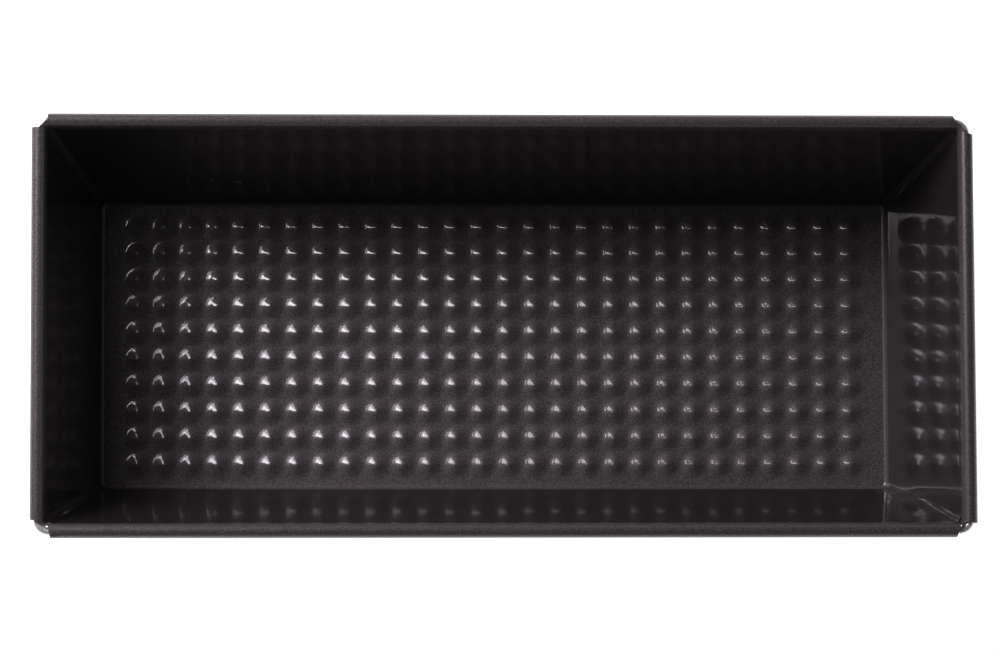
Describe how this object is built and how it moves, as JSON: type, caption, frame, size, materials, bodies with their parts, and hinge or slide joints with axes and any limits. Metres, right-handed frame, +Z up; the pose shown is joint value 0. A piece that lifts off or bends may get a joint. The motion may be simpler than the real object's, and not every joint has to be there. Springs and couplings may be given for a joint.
{
  "type": "loaf pan",
  "caption": "Long rectangular sheet-steel loaf pan with flared walls, a nubbed floor, folded corner gussets and rims rolled over a steel wire.",
  "frame": {"origin": "centre of the pan's outline, on the surface it stands on", "axes": "+Z up out of the pan, +X along its length, +Y across to one long wall"},
  "size_m": [0.309, 0.139, 0.075],
  "materials": {
    "coated_sheet": "glossy dark anthracite non-stick coating with a fine metallic fleck",
    "bare_wire": "plain drawn steel wire, lightly polished"
  },
  "bodies": {
    "root": {"pan_body": "coated_sheet", "rim_wire": "bare_wire"}
  },
  "joints": []
}
